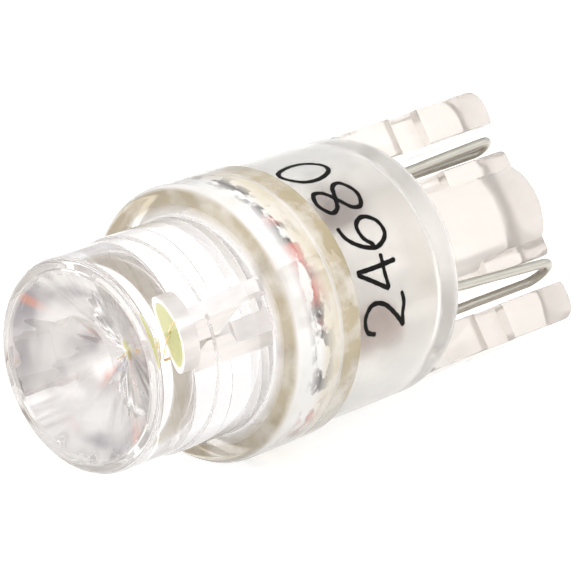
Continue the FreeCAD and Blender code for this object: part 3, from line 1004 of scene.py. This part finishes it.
# Strokes in a box of one by one: whether it closes on itself, then its points
digitStrokes = {
    "0": [
        (
            True, (0.5, 1), (0.12, 0.78), (0.04, 0.42), (0.22, 0.06), (0.55, 0), (0.9, 0.25), (0.96, 0.62),
            (0.8, 0.94),
        ),
    ],
    "2": [
        (False, (0.06, 0.74), (0.22, 0.96), (0.6, 1.0), (0.9, 0.8), (0.82, 0.5), (0.42, 0.22), (0.03, 0.02)),
        (False, (0.03, 0.02), (0.35, 0.05), (0.7, 0.0), (1.0, 0.03)),
    ],
    "4": [
        (False, (0.66, 1.0), (0.4, 0.72), (0.02, 0.32)),
        (False, (0.02, 0.32), (0.5, 0.34), (1.0, 0.3)),
        (False, (0.7, 1.0), (0.69, 0.5), (0.72, 0.0)),
    ],
    "6": [
        (
            False, (0.88, 0.96), (0.5, 0.9), (0.16, 0.62), (0.04, 0.28), (0.3, 0.0), (0.72, 0.03),
            (0.95, 0.28), (0.78, 0.52), (0.4, 0.53), (0.1, 0.34),
        ),
    ],
    "8": [
        (
            True, (0.5, 0.53), (0.2, 0.66), (0.12, 0.86), (0.48, 1.0), (0.84, 0.88), (0.8, 0.68),
            (0.5, 0.53), (0.1, 0.34), (0.08, 0.12), (0.5, 0.0), (0.94, 0.14), (0.9, 0.36),
        ),
    ],
}


def smoothStroke(points, closed, step):
    # evenly spaced points on a soft curve through the given ones
    count = len(points)
    last = count if closed else count - 1
    line = []
    for i in range(last):
        around = []
        for j in (i - 1, i, i + 1, i + 2):
            around.append(points[j % count] if closed else points[min(max(j, 0), count - 1)])
        before, here, after, beyond = around
        pieces = max(2, round((after - here).length / step))
        for k in range(pieces):
            t = k / pieces
            line.append(0.5 * (
                2 * here + (after - before) * t + (2 * before - 5 * here + 4 * after - beyond) * t ** 2
                + (3 * here - before - 3 * after + beyond) * t ** 3
            ))
    line.append(points[0] if closed else points[-1])
    return line


def ribbonEdges(line, closed, seed):
    # the two edges of a stroke, which wavers a little and narrows at its free ends
    half = marking["stroke"] / 2
    slow, fast = marking["waves"]
    tip, growth = marking["penTip"]
    count = len(line)
    edges = []
    for i, here in enumerate(line):
        if closed:
            ahead = line[(i + 1) % (count - 1)] - line[(i - 1) % (count - 1)]
        else:
            ahead = line[min(i + 1, count - 1)] - line[max(i - 1, 0)]
        side = Vector((-ahead.y, ahead.x)).normalized()
        wobble = math.sin(i * slow + seed) + math.sin(i * fast + seed * marking["waveShift"])
        width = half * (1 + marking["unevenness"] * wobble / 2)
        if not closed:
            width *= min(1, tip + growth * min(i, count - 1 - i))
        edges.append((here + side * width, here - side * width))
    return edges


def onCup(u, v, angle, lift):
    # a point of the print, u across and v up from the digit's foot, as a place on the cup's wall
    x = marking["footX"] - v
    along = (x - lens["seatX"]) / base["cupLength"]
    radius = base["frontRadius"] + (base["rearRadius"] - base["frontRadius"]) * along + lift
    turn = math.radians(angle) - u / base["frontRadius"]
    return (x, radius * math.cos(turn), radius * math.sin(turn))


def inkRibbon(bm, line, closed, angle, seed):
    # a flat ribbon of ink along one stroke, wrapped on the cup's wall
    edges = ribbonEdges(line, closed, seed)
    levels = []
    for lift in (-marking["sunk"], marking["thickness"] - marking["sunk"]):
        levels.append([[bm.verts.new(onCup(u, v, angle, lift)) for u, v in pair] for pair in edges])
    sections = [(*high, *reversed(low)) for low, high in zip(*levels)]
    for first, second in zip(sections, sections[1:]):
        for i in range(4):
            bm.faces.new((first[i - 1], first[i], second[i], second[i - 1]))
    bm.faces.new(sections[0])
    bm.faces.new(sections[-1])


def makeMarking():
    bm = bmesh.new()
    seed = 0
    for digit, angle in zip(marking["digits"], marking["angles"]):
        for closed, *points in digitStrokes[digit]:
            seed += 1
            scaled = [Vector(((u - 0.5) * marking["width"], v * marking["height"])) for u, v in points]
            inkRibbon(bm, smoothStroke(scaled, closed, marking["stepMm"]), closed, angle, seed)
    piece = pieceFromBmesh(bm, "cupNumbers")
    finishPiece(piece, "marking_ink", sharpAngle=marking["sharpAngle"])


makeMarking()

# Pieces kept from the solid model, with their finishes.
keptNodes = {
    "cathode_post": "silvered_strip",
    "anode_post": "silvered_strip",
    "led_die": "die",
    "phosphor_fill": "phosphor",
    "bond_wire_anode": "gold_wire",
    "bond_wire_cathode": "gold_wire",
    "resistor_body": "resistor_lacquer",
    "resistor_front_lead": "tinned_lead",
    "diode_glass": "diode_glass",
    "diode_front_plug": "plug_metal",
    "diode_rear_plug": "plug_metal",
    "diode_chip": "die",
    "diode_front_lead": "tinned_lead",
    "solder_joint_resistor": "solder",
    "solder_joint_diode": "solder",
}
for nodeName, finish in keptNodes.items():
    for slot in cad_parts[nodeName].material_slots:
        slot.material = finishes[finish]
print("kept pieces:", len(keptNodes))

table = {
    "radius": 600,
    "steps": 96,
    "colours": ("#CFCDCA", "#D6D4D1"),
    "roughness": 0.8,
    "shine": 0.2,
    "lift": 0.68,           # how much the table's white comes from itself where the eye sees it
    "glassLift": 0.80,      # and where glass or metal sees it
    "cloudMm": 40,
}


def makeTable():
    bm = bmesh.new()
    bmesh.ops.create_circle(bm, cap_ends=True, segments=table["steps"], radius=table["radius"] * mm)
    piece = pieceFromBmesh(bm, "paleTable")
    material, tree = newMaterial("pale_table")
    place = addNode(tree, "TexCoord").outputs["Object"]
    cloud = addNode(tree, "TexNoise", {"Vector": place, "Scale": 1 / (table["cloudMm"] * mm)})
    darker, lighter = table["colours"]
    shade = addNode(tree, "Mix", {0: cloud, 6: tint(darker), 7: tint(lighter)}, data_type="RGBA")
    matt = addNode(
        tree, "BsdfPrincipled",
        {"Base Color": shade, "Roughness": table["roughness"], "Specular IOR Level": table["shine"]},
    )
    # the table is white to the eye and in reflections, and keeps the shadow
    rays = addNode(tree, "LightPath").outputs
    inGlass = addNode(
        tree, "Math", {0: rays["Is Glossy Ray"], 1: rays["Is Transmission Ray"]}, operation="MAXIMUM"
    )
    glassLift = addNode(tree, "Math", {0: inGlass, 1: table["glassLift"]}, operation="MULTIPLY")
    eyeLift = addNode(tree, "Math", {0: rays["Is Camera Ray"], 1: table["lift"]}, operation="MULTIPLY")
    lift = addNode(tree, "Math", {0: glassLift, 1: eyeLift}, operation="MAXIMUM")
    glow = addNode(tree, "Emission", {"Strength": lift})
    both = addNode(tree, "AddShader", {0: matt, 1: glow})
    addNode(tree, "OutputMaterial", {"Surface": both})
    piece.data.materials.append(material)


makeTable()

studio = {
    "ambient": 0.92,            # what lights matt surfaces
    "patches": (
        # what the glass mirrors from the room: direction, size and soft edge in degrees, colour;
        # the wide one is the dim room itself, and it gives pale edges their outline
        {"towards": (-0.692, -0.640, 0.334), "size": 18, "soft": 22, "colour": "#D6D2CF"},
        {"towards": (-0.692, -0.640, 0.334), "size": 9, "soft": 4, "colour": "#1A1816"},
        {"towards": (-0.52, -0.84, 0.16), "size": 7, "soft": 4, "colour": "#D9563F"},
        {"towards": (-0.30, -0.35, 0.88), "size": 5, "soft": 4, "colour": "#55504C"},
    ),
    "softboxes": (
        # place (mm), size (mm), strength in watts
        {"place": (-160, -40, 230), "size": 150, "power": 0.18},
        {"place": (140, -160, 160), "size": 110, "power": 0.08},
    ),
    "aim": (0, 0, 5),           # where the softboxes point
    "glassBounces": 16,         # how many times light may bounce about inside the lens
}
white = (1, 1, 1, 1)


def addMirroredRoom(tree):
    # the sky that glass and metal see: white, with soft round patches
    place = addNode(tree, "TexCoord").outputs["Generated"]
    mirrored = white
    for patch in studio["patches"]:
        towards = Vector(patch["towards"]).normalized()
        size = patch["size"]
        near = addNode(tree, "VectorMath", {0: place, 1: towards}, operation="DOT_PRODUCT")
        amount = addNode(
            tree, "MapRange",
            {"Value": near, **between(math.cos(math.radians(v)) for v in (size + patch["soft"], size))},
        )
        mirrored = addNode(tree, "Mix", {0: amount, 6: mirrored, 7: tint(patch["colour"])}, data_type="RGBA")
    return mirrored


def makeSky():
    world = bpy.data.worlds.new("paleStudio")
    world.use_nodes = True
    bpy.context.scene.world = world
    tree = world.node_tree
    tree.nodes.clear()
    rays = addNode(tree, "LightPath").outputs
    inGlass = addNode(
        tree, "Math", {0: rays["Is Glossy Ray"], 1: rays["Is Transmission Ray"]}, operation="MAXIMUM"
    )
    ambient = (studio["ambient"],) * 3 + (1,)
    shaped = addNode(tree, "Mix", {0: inGlass, 6: ambient, 7: addMirroredRoom(tree)}, data_type="RGBA")
    shown = addNode(tree, "Mix", {0: rays["Is Camera Ray"], 6: shaped, 7: white}, data_type="RGBA")
    sky = addNode(tree, "Background", {"Color": shown, "Strength": 1.0})
    addNode(tree, "OutputWorld", {"Surface": sky})


def makeSoftbox(name, softbox):
    data = bpy.data.lights.new(name, "AREA")
    data.energy = softbox["power"]
    data.size = softbox["size"] * mm
    lamp = bpy.data.objects.new(name, data)
    lamp.location = Vector(softbox["place"]) * mm
    aim = Vector(studio["aim"]) * mm - lamp.location
    lamp.rotation_euler = aim.to_track_quat("-Z", "Y").to_euler()
    bpy.context.scene.collection.objects.link(lamp)


def makeStudio():
    makeSky()
    for i, softbox in enumerate(studio["softboxes"]):
        makeSoftbox("softbox" + str(i), softbox)
    cycles = bpy.context.scene.cycles
    cycles.max_bounces = studio["glassBounces"]
    cycles.glossy_bounces = studio["glassBounces"]
    cycles.transmission_bounces = studio["glassBounces"]


makeStudio()

view = {
    "lens": 312.5,
    "sensor": 36,
    "clip": (1, 10000),
    "place": (-127.5753, -117.4338, 66.6132),
    "right": (0.679104, -0.734042, 0.0),
    "up": (0.245162, 0.226813, 0.942577),
    "back": (-0.691891, -0.640108, 0.333989),
}


def makeCamera():
    data = bpy.data.cameras.new("photoView")
    data.lens = view["lens"]
    data.sensor_width = view["sensor"]
    data.clip_start = view["clip"][0] * mm
    data.clip_end = view["clip"][1] * mm
    camera = bpy.data.objects.new("photoView", data)
    axes = Matrix((view["right"], view["up"], view["back"])).transposed().to_4x4()
    camera.matrix_world = Matrix.Translation(Vector(view["place"]) * mm) @ axes
    bpy.context.scene.collection.objects.link(camera)
    bpy.context.scene.camera = camera


makeCamera()
bpy.context.scene.view_settings.view_transform = "Standard"
print("table, studio and camera made")
